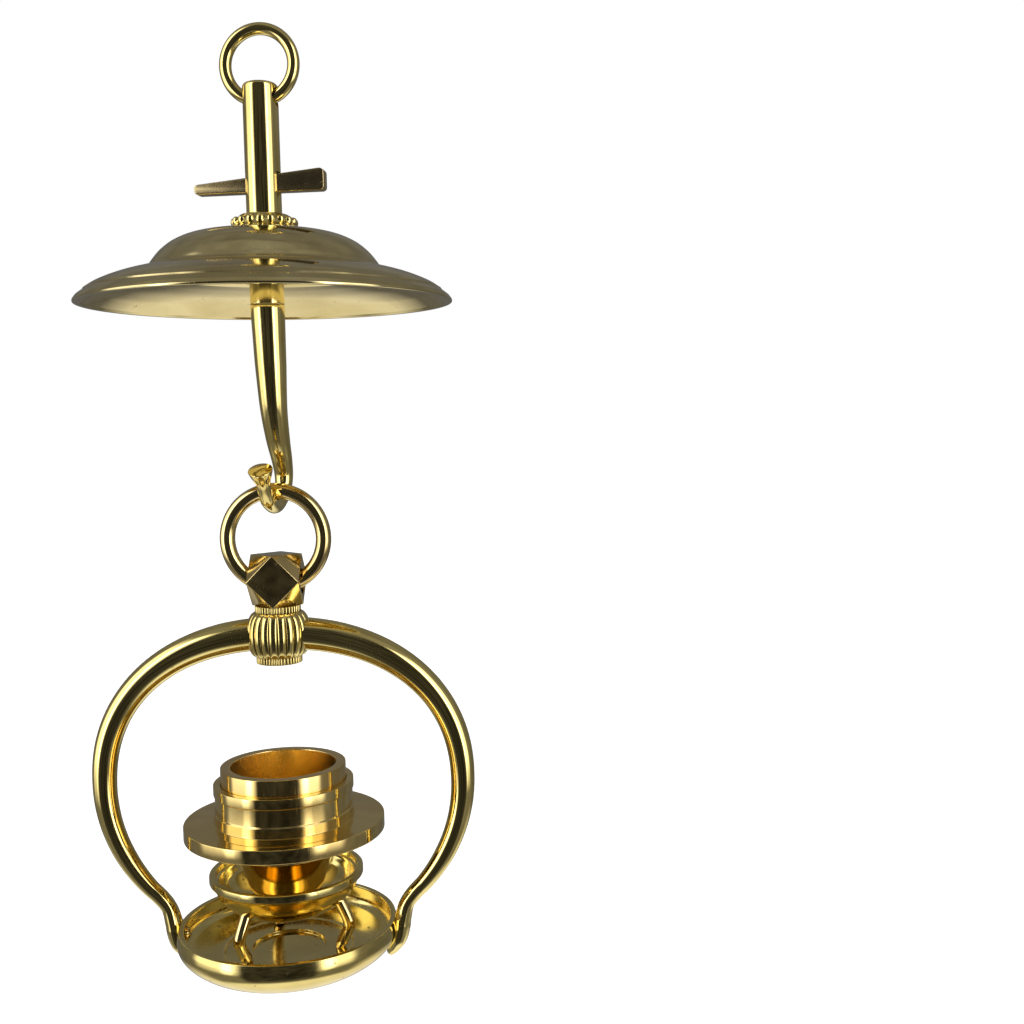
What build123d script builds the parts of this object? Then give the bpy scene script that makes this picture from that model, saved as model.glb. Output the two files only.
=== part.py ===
from build123d import *
import math
import os

# Hanging sanctuary lamp in brass, in millimetres.
# The origin is the inner top of the hanging ring, where the lamp hangs, and +Z is up.
# X runs across the bail. The upper hanger is turned by UPPER_YAW about Z against the bail.

UPPER_YAW = -7.0

# Hanging ring and the stem that swings on it
HANG_RING_MEAN_R = 8.55
HANG_RING_WIRE_R = 1.5
HANG_RING_Z = -(HANG_RING_MEAN_R - HANG_RING_WIRE_R)
STEM_R = 4.3
STEM_TOP_Z = -11.5
STEM_TOP_ROUND = 1.1
STEM_HOLE_Z = -14.93
STEM_HOLE_R = 2.3
STEM_END_Z = -47.0
TENON_R = 2.8
TENON_BORE_R = 2.85
TENON_TOP_Z = -29.5
STEM_BORE_TOP_Z = -29.0

# Wedge (cotter) that draws the stem and the hook together
WEDGE_BOTTOM_Z = -37.7
WEDGE_BIG_X = 15.6
WEDGE_SMALL_X = -17.1
WEDGE_BIG_H = 5.4
WEDGE_SMALL_H = 2.4
WEDGE_T = 3.3
WEDGE_ROUND = 0.9
SLOT_SIDE_GAP = 0.1
SLOT_GAP = 0.5

# Beaded collar, shade and the sleeve under it
COLLAR_BASE_R = 9.8
COLLAR_TOP_Z = -43.0
COLLAR_BORE_R = STEM_R + 0.03
BEAD_COUNT = 18
BEAD_CIRCLE_R = 7.45
BEAD_R = 0.95
BEAD_Z = -44.8
SHADE_T = 1.2
SHADE_CROWN_Z = -47.0
SHADE_RIM_R = 45.45
SHADE_RIM_Z = -64.6
SHADE_RIM_T = 1.6
SLEEVE_R = 4.2
SLEEVE_END_Z = -64.8

# Hook: its lowest point is under the stem's axis, its tip is on the -Y side
HOOK_WIRE_R = 1.9
HOOK_LOW_Z = -114.4
HOOK_NECK_R = 1.7
HOOK_HEAD_R = 3.0
HOOK_HEAD_LENGTH = 4.6
SLOT_PLAY = 0.02

# Swing ring that joins the hook and the block
SWING_RING_MEAN_R = 12.0
SWING_RING_WIRE_R = 1.925
RING_GAP = 0.05
SWING_RING_TOP_Z = HOOK_LOW_Z + HOOK_WIRE_R + RING_GAP + SWING_RING_WIRE_R
SWING_RING_Z = SWING_RING_TOP_Z - SWING_RING_MEAN_R

# Faceted block, neck, knot, nut and the stud through them
BLOCK_HALF = 6.45
BLOCK_Z = -132.8
BLOCK_HOLE_Z = -133.4
BLOCK_HOLE_R = 3.1
NECK_R = 5.7
NECK_TOP_Z = BLOCK_Z - BLOCK_HALF
NECK_END_Z = -140.9
FLUTE_COUNT = 40
FLUTE_R = 0.28
KNOT_R = 7.45
KNOT_END_R = 5.75
KNOT_END_Z = -151.9
RIB_COUNT = 22
RIB_R = 1.0
RIB_SINK = 0.45
RIB_END_SINK = 0.9
NUT_END_Z = -153.7
STUD_R = 2.0
STUD_TOP_Z = -137.5
STUD_END_Z = NUT_END_Z + 0.6

# Bail
BAIL_Z = -184.6
BAIL_HALF_W = 45.4
BAIL_CROWN_H = 38.2
BAIL_LOWER_H = 42.0
BAIL_SHOULDER_POWER = 2.2
BAIL_CROWN_R = 4.2
BAIL_SIDE_R = 3.15
BAIL_FOOT_R = 1.95

# Dish
DISH_RIM_R = 27.3
DISH_RIM_Z = -220.3
DISH_MAX_R = 27.7
DISH_MAX_Z = -223.6
DISH_FOOT_R = 13.5
DISH_BOTTOM_Z = -230.8
DISH_UNDER_R = 11.5
DISH_UNDER_DEPTH = 1.4
DISH_FLOOR_Z = -227.0
DISH_FLOOR_R = 16.5
DISH_RECESS_R = 9.05
DISH_RECESS_DEPTH = 0.9
DISH_WALL = 1.3
RIVET_Z = -223.8
RIVET_HEAD_R = 1.5
RIVET_SHANK_R = 0.7
RIVET_START_X = 24.0
RIVET_END_X = 28.6

# Saucer on three legs
SAUCER_RIM_R = 19.3
SAUCER_RIM_TOP_Z = -206.8
SAUCER_BAND_H = 1.9
SAUCER_BAND_STEP = 0.5
SAUCER_WALL = 1.5
SAUCER_BOTTOM_R = 9.5
SAUCER_BOTTOM_Z = -217.3
SAUCER_FLOOR_R = 8.5
SAUCER_FLOOR_Z = -215.4
LEG_R = 1.5
LEG_ANGLES = (233.0, 351.0, 111.0)

# Flanged holder and the cup in it
CUP_R = 15.65
CUP_BORE_R = 13.2
CUP_TOP_Z = -179.7
CUP_BOTTOM_Z = -197.0
CUP_FLOOR_T = 1.5
CUP_CLEARANCE = 0.1
HOLDER_R = 17.5
HOLDER_TOP_Z = -183.8
GROOVE_DEPTH = 0.3
GROOVE_TOP_Z = -186.2
GROOVE_END_Z = -190.7
FLANGE_R = 25.1
FLANGE_TOP_Z = -193.5
FLANGE_END_Z = -197.0
HOLDER_STEP_R = 16.8
HOLDER_STEP_Z = -200.4
BOWL_TOP_R = 14.6
HOLDER_FOOT_R = 6.0
# Overlap and overshoot given to cutting tools
OVER = 1.0


def lathe(outline):
    """Turn an outline of (radius, height) edges about the Z axis."""
    return revolve(make_face(outline), Axis.Z)


def polyline_rz(points):
    return Polyline(*[(r, 0, z) for r, z in points], close=True)


def spline_rz(points, tangents):
    return Spline(
        *[(r, 0, z) for r, z in points],
        tangents=[(r, 0, z) for r, z in tangents],
    )


def line_rz(start, end):
    return Line((start[0], 0, start[1]), (end[0], 0, end[1]))


def rod(radius, start, end):
    """A round bar between two points."""
    axis = Vector(*end) - Vector(*start)
    plane = Plane(origin=start, z_dir=axis)
    return extrude(plane * Circle(radius), axis.length)


def to_upper(part):
    """Turn a piece of the upper hanger from the bail's frame to its own."""
    return part.rotate(Axis.Z, UPPER_YAW)


def ring(mean_r, wire_r, z):
    """A closed wire ring that stands in the XZ plane."""
    return Pos(0, 0, z) * Rot(90, 0, 0) * Torus(mean_r, wire_r)


def hanging_ring():
    return to_upper(ring(HANG_RING_MEAN_R, HANG_RING_WIRE_R, HANG_RING_Z))


def wedge_height(x):
    slope = (WEDGE_BIG_H - WEDGE_SMALL_H) / (WEDGE_BIG_X - WEDGE_SMALL_X)
    return WEDGE_SMALL_H + slope * (x - WEDGE_SMALL_X)


def stem():
    """The tube over the shade, with the ring's cross hole and the wedge's slot."""
    body = rod(STEM_R, (0, 0, STEM_END_Z), (0, 0, STEM_TOP_Z))
    body = fillet(body.edges().group_by(Axis.Z)[-1], STEM_TOP_ROUND)
    body -= rod(TENON_BORE_R, (0, 0, STEM_END_Z), (0, 0, STEM_BORE_TOP_Z))
    reach = STEM_R + OVER
    body -= rod(STEM_HOLE_R, (-reach, 0, STEM_HOLE_Z), (reach, 0, STEM_HOLE_Z))
    slot_top = WEDGE_BOTTOM_Z + wedge_height(STEM_R) + SLOT_GAP
    slot_h = slot_top - WEDGE_BOTTOM_Z
    slot = Box(4 * STEM_R, WEDGE_T + 2 * SLOT_SIDE_GAP, slot_h)
    body -= Pos(0, 0, WEDGE_BOTTOM_Z + slot_h / 2) * slot
    return to_upper(body)


def wedge():
    """A flat taper key: level underneath, rising towards its large end."""
    corners = [
        (WEDGE_SMALL_X, WEDGE_BOTTOM_Z),
        (WEDGE_BIG_X, WEDGE_BOTTOM_Z),
        (WEDGE_BIG_X, WEDGE_BOTTOM_Z + WEDGE_BIG_H),
        (WEDGE_SMALL_X, WEDGE_BOTTOM_Z + WEDGE_SMALL_H),
    ]
    face = make_face(Polyline(*[(x, 0, z) for x, z in corners], close=True))
    face = fillet(face.vertices(), WEDGE_ROUND)
    return to_upper(extrude(face, WEDGE_T / 2, both=True))


def bead_collar():
    """The washer round the stem's foot: a flare with a ring of beads above it."""
    outline = polyline_rz([
        (COLLAR_BORE_R, SHADE_CROWN_Z),
        (COLLAR_BASE_R, SHADE_CROWN_Z),
        (COLLAR_BASE_R, SHADE_CROWN_Z + 0.35),
        (BEAD_CIRCLE_R + 1.1, SHADE_CROWN_Z + 0.7),
        (BEAD_CIRCLE_R + 0.4, SHADE_CROWN_Z + 1.3),
        (BEAD_CIRCLE_R, BEAD_Z + 0.2),
        (5.9, COLLAR_TOP_Z),
        (COLLAR_BORE_R, COLLAR_TOP_Z),
    ])
    body = lathe(outline)
    for index in range(BEAD_COUNT):
        angle = math.radians(360 * index / BEAD_COUNT)
        x = BEAD_CIRCLE_R * math.cos(angle)
        y = BEAD_CIRCLE_R * math.sin(angle)
        body += Pos(x, y, BEAD_Z) * Sphere(BEAD_R)
    return to_upper(body)


def shade():
    """The spun umbrella: a domed crown, a convex brim and a stepped rim."""
    valley = (28.3, -56.3)
    step_top = (43.2, -61.8)
    step_end = (43.4, -62.3)
    crown = [
        (TENON_BORE_R, SHADE_CROWN_Z),
        (11.8, -47.25),
        (18.0, -48.2),
        (22.2, -49.9),
        (25.2, -52.2),
        (27.2, -54.6),
        valley,
    ]
    brim = [valley, (32.0, -57.1), (36.5, -58.4), (40.6, -60.1), step_top]
    outer = [
        spline_rz(crown, [(1, 0), (0.55, -0.84)]),
        spline_rz(brim, [(1, -0.15), (0.8, -0.6)]),
        line_rz(step_top, step_end),
        spline_rz([step_end, (SHADE_RIM_R, SHADE_RIM_Z)], [(1, -0.6), (0.1, -1)]),
    ]
    under_top = SHADE_CROWN_Z - SHADE_T
    under_valley = (27.5, -57.3)
    under_step = (42.5, -63.0)
    under_brim = [under_step, (40.0, -61.3), (36.1, -59.6), (31.8, -58.3), under_valley]
    under_crown = [
        under_valley,
        (26.2, -55.3),
        (24.3, -53.1),
        (21.5, -51.0),
        (17.6, -49.4),
        (11.7, -48.45),
        (TENON_BORE_R, under_top),
    ]
    lip_r = SHADE_RIM_R - SHADE_RIM_T
    inner = [
        line_rz((SHADE_RIM_R, SHADE_RIM_Z), (lip_r, SHADE_RIM_Z)),
        line_rz((lip_r, SHADE_RIM_Z), under_step),
        spline_rz(under_brim, [(-0.8, 0.6), (-1, 0.15)]),
        spline_rz(under_crown, [(-0.55, 0.84), (-1, 0)]),
        line_rz((TENON_BORE_R, under_top), (TENON_BORE_R, SHADE_CROWN_Z)),
    ]
    return lathe(outer + inner)


def sleeve():
    """The spacer tube from the shade's underside down to the hook's shoulder."""
    top_z = SHADE_CROWN_Z - SHADE_T - SLOT_PLAY
    body = rod(SLEEVE_R, (0, 0, SLEEVE_END_Z), (0, 0, top_z))
    body -= rod(TENON_BORE_R, (0, 0, SLEEVE_END_Z), (0, 0, top_z))
    return to_upper(body)


def hook_centre():
    """The hook's centre line in the YZ plane, from the shoulder round to the tip's neck."""
    points = [
        (0, SLEEVE_END_Z),
        (1.0, -80.0),
        (2.1, -90.0),
        (4.6, -97.6),
        (7.3, -103.0),
        (8.5, -107.2),
        (7.4, -110.9),
        (4.0, -113.6),
        (0, HOOK_LOW_Z),
        (-4.2, -113.0),
        (-7.6, -108.9),
    ]
    return Spline(*[(0, y, z) for y, z in points], tangents=[(0, 0, -1), (0, -0.5, 0.866)])


def taper(stations, share):
    """Read a value at a share of a length from rows of (share, value)."""
    for (low, low_value), (high, high_value) in zip(stations, stations[1:]):
        if share <= high:
            return low_value + (high_value - low_value) * (share - low) / (high - low)
    return stations[-1][1]


def hook():
    """Slotted tenon, shoulder, tapered shank, bend and flared tip, forged in one."""
    centre = hook_centre()
    radii = [
        (0.0, SLEEVE_R),
        (0.22, 3.85),
        (0.37, 3.4),
        (0.5, 3.0),
        (0.62, 2.5),
        (0.7, 2.15),
        (0.78, HOOK_WIRE_R),
        (0.92, HOOK_WIRE_R),
        (1.0, HOOK_NECK_R),
    ]
    steps = 22
    sections = []
    for step in range(steps + 1):
        share = step / steps
        plane = Plane(origin=centre @ share, x_dir=(1, 0, 0), z_dir=centre % share)
        sections.append(plane * Circle(taper(radii, share)))
    body = loft(sections)
    body += rod(TENON_R, (0, 0, SLEEVE_END_Z - OVER), (0, 0, TENON_TOP_Z))
    tip_plane = Plane(origin=centre @ 1, x_dir=(1, 0, 0), z_dir=centre % 1)
    body += tip_plane * hook_head()
    body -= tenon_slot()
    return to_upper(body)


def hook_head():
    """A trumpet-shaped knob with a flat end, from its neck up along +Z."""
    rim_break = 0.25
    flat_r = HOOK_HEAD_R - rim_break
    flare_top = HOOK_HEAD_LENGTH - rim_break
    outline = [
        line_rz((0, -0.3), (HOOK_NECK_R, -0.3)),
        line_rz((HOOK_NECK_R, -0.3), (HOOK_NECK_R, 0)),
        spline_rz([(HOOK_NECK_R, 0), (2.35, 2.2), (HOOK_HEAD_R, flare_top)], [(0.15, 1), (0.12, 1)]),
        line_rz((HOOK_HEAD_R, flare_top), (flat_r, HOOK_HEAD_LENGTH)),
        line_rz((flat_r, HOOK_HEAD_LENGTH), (0, HOOK_HEAD_LENGTH)),
        line_rz((0, HOOK_HEAD_LENGTH), (0, -0.3)),
    ]
    return lathe(outline)


def tenon_slot():
    """The slot in the tenon bears on the wedge's sloping top and is open under it."""
    reach = TENON_R + 1
    corners = [
        (-reach, WEDGE_BOTTOM_Z - SLOT_GAP),
        (reach, WEDGE_BOTTOM_Z - SLOT_GAP),
        (reach, WEDGE_BOTTOM_Z + wedge_height(reach) + SLOT_PLAY),
        (-reach, WEDGE_BOTTOM_Z + wedge_height(-reach) + SLOT_PLAY),
    ]
    face = make_face(Polyline(*[(x, 0, z) for x, z in corners], close=True))
    return extrude(face, WEDGE_T / 2 + SLOT_SIDE_GAP, both=True)


def swing_ring():
    return ring(SWING_RING_MEAN_R, SWING_RING_WIRE_R, SWING_RING_Z)


def faceted_block():
    """A cube with its eight corners cut back to the middles of its edges."""
    body = Box(2 * BLOCK_HALF, 2 * BLOCK_HALF, 2 * BLOCK_HALF)
    corner_cut = Pos(0, 0, BLOCK_HALF) * Box(4 * BLOCK_HALF, 4 * BLOCK_HALF, 2 * BLOCK_HALF)
    facet = 2 * BLOCK_HALF / 3
    for sx in (-1, 1):
        for sy in (-1, 1):
            for sz in (-1, 1):
                plane = Plane(origin=(sx * facet, sy * facet, sz * facet), z_dir=(sx, sy, sz))
                body -= plane * corner_cut
    body = Pos(0, 0, BLOCK_Z) * body
    reach = BLOCK_HALF + OVER
    body -= rod(BLOCK_HOLE_R, (-reach, 0, BLOCK_HOLE_Z), (reach, 0, BLOCK_HOLE_Z))
    return body - rod(STUD_R, (0, 0, NECK_TOP_Z - OVER), (0, 0, STUD_TOP_Z))


def fluted_disc(radius, low_z, high_z):
    """A short cylinder with fine upright flutes and a hole for the stud."""
    body = rod(radius, (0, 0, low_z), (0, 0, high_z))
    for index in range(FLUTE_COUNT):
        angle = math.radians(360 * index / FLUTE_COUNT)
        x = radius * math.cos(angle)
        y = radius * math.sin(angle)
        body -= rod(FLUTE_R, (x, y, low_z - OVER), (x, y, high_z + OVER))
    return body - rod(STUD_R, (0, 0, low_z - OVER), (0, 0, high_z + OVER))


def neck_collar():
    return fluted_disc(NECK_R, NECK_END_Z, NECK_TOP_Z)


def knurled_nut():
    return fluted_disc(NECK_R, NUT_END_Z, KNOT_END_Z)


def ribbed_knot():
    """A barrel with upright gadroons, bored across for the bail and down for the stud."""
    middle = (NECK_END_Z + KNOT_END_Z) / 2
    half = (NECK_END_Z - KNOT_END_Z) / 2
    bulge = ThreePointArc(
        (KNOT_END_R, 0, NECK_END_Z),
        (KNOT_R, 0, middle),
        (KNOT_END_R, 0, KNOT_END_Z),
    )
    barrel = [
        bulge,
        line_rz((KNOT_END_R, KNOT_END_Z), (0, KNOT_END_Z)),
        line_rz((0, KNOT_END_Z), (0, NECK_END_Z)),
        line_rz((0, NECK_END_Z), (KNOT_END_R, NECK_END_Z)),
    ]
    body = lathe(barrel)
    rib_end_r = KNOT_END_R - RIB_END_SINK
    rib_path = ThreePointArc(
        (rib_end_r, 0, NECK_END_Z),
        (KNOT_R - RIB_SINK, 0, middle),
        (rib_end_r, 0, KNOT_END_Z),
    )
    rib_start = Plane(origin=rib_path @ 0, x_dir=(0, 1, 0), z_dir=rib_path % 0)
    rib = sweep(rib_start * Circle(RIB_R), path=rib_path)
    keep = Pos(0, 0, middle) * Cylinder(2 * KNOT_R, 2 * half)
    for index in range(RIB_COUNT):
        body += (rib & keep).rotate(Axis.Z, 360 * (index + 0.5) / RIB_COUNT)
    body -= bail_solid()
    return body - rod(STUD_R, (0, 0, KNOT_END_Z - OVER), (0, 0, NECK_END_Z + OVER))


def knot_stud():
    """The threaded stud that holds the block, neck, knot, bail and nut together."""
    return rod(STUD_R, (0, 0, STUD_END_Z), (0, 0, STUD_TOP_Z))


def bail_point(angle):
    """A point of the bail's centre line, at an angle from its crown."""
    across = math.sin(math.radians(angle))
    up = math.cos(math.radians(angle))
    if angle >= 90:
        return (BAIL_HALF_W * across, 0, BAIL_Z + BAIL_LOWER_H * up)
    fullness = 2 / BAIL_SHOULDER_POWER
    return (BAIL_HALF_W * across**fullness, 0, BAIL_Z + BAIL_CROWN_H * abs(up) ** fullness)


def bail_half():
    """One side of the bail: a tapering rod that ends in a flattened leaf on the dish."""
    points = [bail_point(angle) for angle in (0, 15, 32, 50, 70, 90, 112, 130)]
    points += [(30.2, 0, -216.8), (29.3, 0, -220.6), (28.3, 0, -225.3), (25.7, 0, -229.7)]
    centre = Spline(*points, tangents=[(1, 0, 0), (-0.7, 0, -0.7)])
    # Each row: share of the length, half thickness in the bail's plane, half width across it.
    stations = [
        (0.0, BAIL_CROWN_R, BAIL_CROWN_R),
        (0.12, BAIL_CROWN_R - 0.15, BAIL_CROWN_R - 0.15),
        (0.25, 3.7, 3.7),
        (0.38, 3.35, 3.35),
        (0.5, BAIL_SIDE_R, BAIL_SIDE_R),
        (0.62, 2.9, 2.9),
        (0.74, 2.55, 2.55),
        (0.83, 2.1, 2.1),
        (0.88, BAIL_FOOT_R, 2.2),
        (0.93, 2.3, 2.9),
        (0.97, 2.0, 2.7),
        (1.0, 1.2, 1.6),
    ]
    sections = []
    for share, thick, wide in stations:
        plane = Plane(origin=centre @ share, x_dir=(0, 1, 0), z_dir=centre % share)
        sections.append(plane * Ellipse(wide, thick) if wide != thick else plane * Circle(thick))
    return loft(sections)


def bail_solid():
    half = bail_half()
    return half + mirror(half, about=Plane.YZ)


def dish_envelope():
    """The dish's outer surface as one solid, which the bail's leaves lie against."""
    side = [
        (DISH_FOOT_R, DISH_BOTTOM_Z),
        (22.0, -229.4),
        (DISH_MAX_R, DISH_MAX_Z),
        (DISH_RIM_R, DISH_RIM_Z),
    ]
    outline = [
        spline_rz(side, [(1, 0.0), (-0.3, 1)]),
        line_rz((DISH_RIM_R, DISH_RIM_Z), (0, DISH_RIM_Z)),
        line_rz((0, DISH_RIM_Z), (0, DISH_BOTTOM_Z)),
        line_rz((0, DISH_BOTTOM_Z), (DISH_FOOT_R, DISH_BOTTOM_Z)),
    ]
    return lathe(outline)


def dish():
    """A shallow dish with an incurved rim, a sunk middle and a turned foot."""
    rim_in = DISH_RIM_R - DISH_WALL
    open_z = DISH_RIM_Z + OVER
    wall = [
        (DISH_FLOOR_R, DISH_FLOOR_Z),
        (23.0, -226.1),
        (DISH_MAX_R - DISH_WALL, DISH_MAX_Z + 0.3),
        (rim_in, open_z),
    ]
    inside = [
        spline_rz(wall, [(1, 0.0), (-0.25, 1)]),
        line_rz((rim_in, open_z), (0, open_z)),
        line_rz((0, open_z), (0, DISH_FLOOR_Z)),
        line_rz((0, DISH_FLOOR_Z), (DISH_FLOOR_R, DISH_FLOOR_Z)),
    ]
    body = dish_envelope() - lathe(inside)
    recess_z = DISH_FLOOR_Z - DISH_RECESS_DEPTH
    body -= rod(DISH_RECESS_R, (0, 0, recess_z), (0, 0, DISH_FLOOR_Z + OVER))
    under_z = DISH_BOTTOM_Z + DISH_UNDER_DEPTH
    body -= rod(DISH_UNDER_R, (0, 0, DISH_BOTTOM_Z - OVER), (0, 0, under_z))
    return body - rivet_holes()


def rivet_holes():
    """The two holes through the dish's wall and the bail's leaves."""
    end_x = RIVET_END_X + 0.5
    hole = rod(RIVET_SHANK_R, (RIVET_START_X, 0, RIVET_Z), (end_x, 0, RIVET_Z))
    return hole + mirror(hole, about=Plane.YZ)


def bail():
    """The whole bail, cut back to the dish, with its rivet holes and the stud's hole."""
    body = bail_solid() - dish_envelope() - rivet_holes()
    return body - rod(STUD_R, (0, 0, KNOT_END_Z), (0, 0, NECK_END_Z))


def rivet(plate):
    """A round-headed rivet from inside the dish into the bail's leaf, on the +X side."""
    seat_x = DISH_MAX_R - DISH_WALL
    head = Pos(seat_x, 0, RIVET_Z) * Sphere(RIVET_HEAD_R) & dish_envelope()
    shank = rod(RIVET_SHANK_R, (seat_x, 0, RIVET_Z), (RIVET_END_X, 0, RIVET_Z))
    return head + shank - plate


def saucer():
    """A small bowl with an upright rim band and a step inside it."""
    band_z = SAUCER_RIM_TOP_Z - SAUCER_BAND_H
    side_r = SAUCER_RIM_R - SAUCER_BAND_STEP
    inner_r = SAUCER_RIM_R - SAUCER_WALL
    step_r = inner_r - 0.8
    step_z = band_z + 0.3
    outline = [
        line_rz((0, SAUCER_BOTTOM_Z), (SAUCER_BOTTOM_R, SAUCER_BOTTOM_Z)),
        spline_rz([(SAUCER_BOTTOM_R, SAUCER_BOTTOM_Z), (side_r, band_z)], [(1, 0.25), (0.25, 1)]),
        line_rz((side_r, band_z), (SAUCER_RIM_R, band_z)),
        line_rz((SAUCER_RIM_R, band_z), (SAUCER_RIM_R, SAUCER_RIM_TOP_Z)),
        line_rz((SAUCER_RIM_R, SAUCER_RIM_TOP_Z), (inner_r, SAUCER_RIM_TOP_Z)),
        line_rz((inner_r, SAUCER_RIM_TOP_Z), (inner_r, step_z)),
        line_rz((inner_r, step_z), (step_r, step_z)),
        spline_rz([(step_r, step_z), (SAUCER_FLOOR_R, SAUCER_FLOOR_Z)], [(-0.25, -1), (-1, -0.25)]),
        line_rz((SAUCER_FLOOR_R, SAUCER_FLOOR_Z), (0, SAUCER_FLOOR_Z)),
        line_rz((0, SAUCER_FLOOR_Z), (0, SAUCER_BOTTOM_Z)),
    ]
    return lathe(outline)


def leg(angle, bowl):
    """A bent leg from under the saucer, out to a knee and in to its foot on the dish."""
    path = FilletPolyline(
        (12.0, 0, -211.5),
        (16.6, 0, -220.7),
        (12.6, 0, DISH_FLOOR_Z - LEG_R),
        radius=4.0,
    )
    start = Plane(origin=path @ 0, x_dir=(0, 1, 0), z_dir=path % 0)
    body = sweep(start * Circle(LEG_R), path=path)
    body = body.rotate(Axis.Z, angle)
    body -= bowl
    height = SAUCER_RIM_TOP_Z - DISH_FLOOR_Z
    above_floor = Pos(0, 0, DISH_FLOOR_Z + height / 2) * Cylinder(DISH_RIM_R, height)
    body = body & above_floor
    return min(body.solids(), key=lambda solid: solid.center().Z)


def holder():
    """A grooved socket with a wide flange and a round bowl that stands in the saucer."""
    bore_r = CUP_R + CUP_CLEARANCE
    groove_r = HOLDER_R - GROOVE_DEPTH
    groove_low = (groove_r, GROOVE_END_Z + GROOVE_DEPTH)
    groove_high = (groove_r, GROOVE_TOP_Z - GROOVE_DEPTH)
    bowl = [
        (HOLDER_FOOT_R, SAUCER_FLOOR_Z),
        (8.0, -212.9),
        (9.5, -210.5),
        (10.2, -207.4),
        (11.5, -204.5),
        (BOWL_TOP_R, HOLDER_STEP_Z),
    ]
    outline = [
        line_rz((0, SAUCER_FLOOR_Z), (HOLDER_FOOT_R, SAUCER_FLOOR_Z)),
        spline_rz(bowl, [(0.8, 1), (0.7, 1)]),
        line_rz((BOWL_TOP_R, HOLDER_STEP_Z), (HOLDER_STEP_R, HOLDER_STEP_Z)),
        line_rz((HOLDER_STEP_R, HOLDER_STEP_Z), (HOLDER_STEP_R, FLANGE_END_Z)),
        line_rz((HOLDER_STEP_R, FLANGE_END_Z), (FLANGE_R, FLANGE_END_Z)),
        line_rz((FLANGE_R, FLANGE_END_Z), (FLANGE_R, FLANGE_TOP_Z)),
        line_rz((FLANGE_R, FLANGE_TOP_Z), (HOLDER_R, FLANGE_TOP_Z)),
        line_rz((HOLDER_R, FLANGE_TOP_Z), (HOLDER_R, GROOVE_END_Z)),
        line_rz((HOLDER_R, GROOVE_END_Z), groove_low),
        line_rz(groove_low, groove_high),
        line_rz(groove_high, (HOLDER_R, GROOVE_TOP_Z)),
        line_rz((HOLDER_R, GROOVE_TOP_Z), (HOLDER_R, HOLDER_TOP_Z)),
        line_rz((HOLDER_R, HOLDER_TOP_Z), (bore_r, HOLDER_TOP_Z)),
        line_rz((bore_r, HOLDER_TOP_Z), (bore_r, CUP_BOTTOM_Z)),
        line_rz((bore_r, CUP_BOTTOM_Z), (0, CUP_BOTTOM_Z)),
        line_rz((0, CUP_BOTTOM_Z), (0, SAUCER_FLOOR_Z)),
    ]
    return lathe(outline)


def cup():
    """A plain turned cup with a flat floor, loose in the holder."""
    floor_z = CUP_BOTTOM_Z + CUP_FLOOR_T
    body = rod(CUP_R, (0, 0, CUP_BOTTOM_Z), (0, 0, CUP_TOP_Z))
    return body - rod(CUP_BORE_R, (0, 0, floor_z), (0, 0, CUP_TOP_Z + OVER))


def all_pieces():
    bowl = saucer()
    plate = dish()
    right_rivet = rivet(plate)
    pieces = {
        "hanging_ring": hanging_ring(),
        "stem_tube": stem(),
        "wedge": wedge(),
        "bead_collar": bead_collar(),
        "shade": shade(),
        "spacer_sleeve": sleeve(),
        "hook": hook(),
        "swing_ring": swing_ring(),
        "faceted_block": faceted_block(),
        "neck_collar": neck_collar(),
        "ribbed_knot": ribbed_knot(),
        "knot_stud": knot_stud(),
        "knurled_nut": knurled_nut(),
        "bail": bail(),
        "rivet_left": mirror(right_rivet, about=Plane.YZ),
        "rivet_right": right_rivet,
        "dish": plate,
        "saucer": bowl,
        "flanged_holder": holder(),
        "inner_cup": cup(),
    }
    for index, angle in enumerate(LEG_ANGLES):
        pieces[f"saucer_leg_{index + 1}"] = leg(angle, bowl)
    return pieces


os.makedirs("parts", exist_ok=True)
for name, piece in all_pieces().items():
    export_step(piece, f"parts/{name}.step")
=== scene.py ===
import math

import bmesh
import bpy
from mathutils import Matrix, Vector


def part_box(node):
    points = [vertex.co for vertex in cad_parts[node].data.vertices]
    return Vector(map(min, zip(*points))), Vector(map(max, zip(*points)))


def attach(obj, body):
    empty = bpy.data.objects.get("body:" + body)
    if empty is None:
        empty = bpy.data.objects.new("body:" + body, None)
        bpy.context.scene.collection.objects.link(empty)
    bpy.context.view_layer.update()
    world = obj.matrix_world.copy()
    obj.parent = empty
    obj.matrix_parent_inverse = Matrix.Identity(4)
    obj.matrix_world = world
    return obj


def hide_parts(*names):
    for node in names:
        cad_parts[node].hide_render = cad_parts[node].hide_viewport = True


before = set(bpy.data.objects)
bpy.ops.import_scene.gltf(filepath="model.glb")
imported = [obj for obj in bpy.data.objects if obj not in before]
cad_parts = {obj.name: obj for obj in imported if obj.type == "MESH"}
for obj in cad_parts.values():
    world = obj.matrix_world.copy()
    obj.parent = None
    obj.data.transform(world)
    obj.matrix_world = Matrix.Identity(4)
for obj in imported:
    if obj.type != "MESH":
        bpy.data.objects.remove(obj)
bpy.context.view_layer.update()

MM = 0.001
UPPER_YAW = math.radians(-7.0)
ROUND_STEPS = 192
SHARP_ANGLE = math.radians(32)


# ---------------------------------------------------------------- outlines, in millimetres

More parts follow.
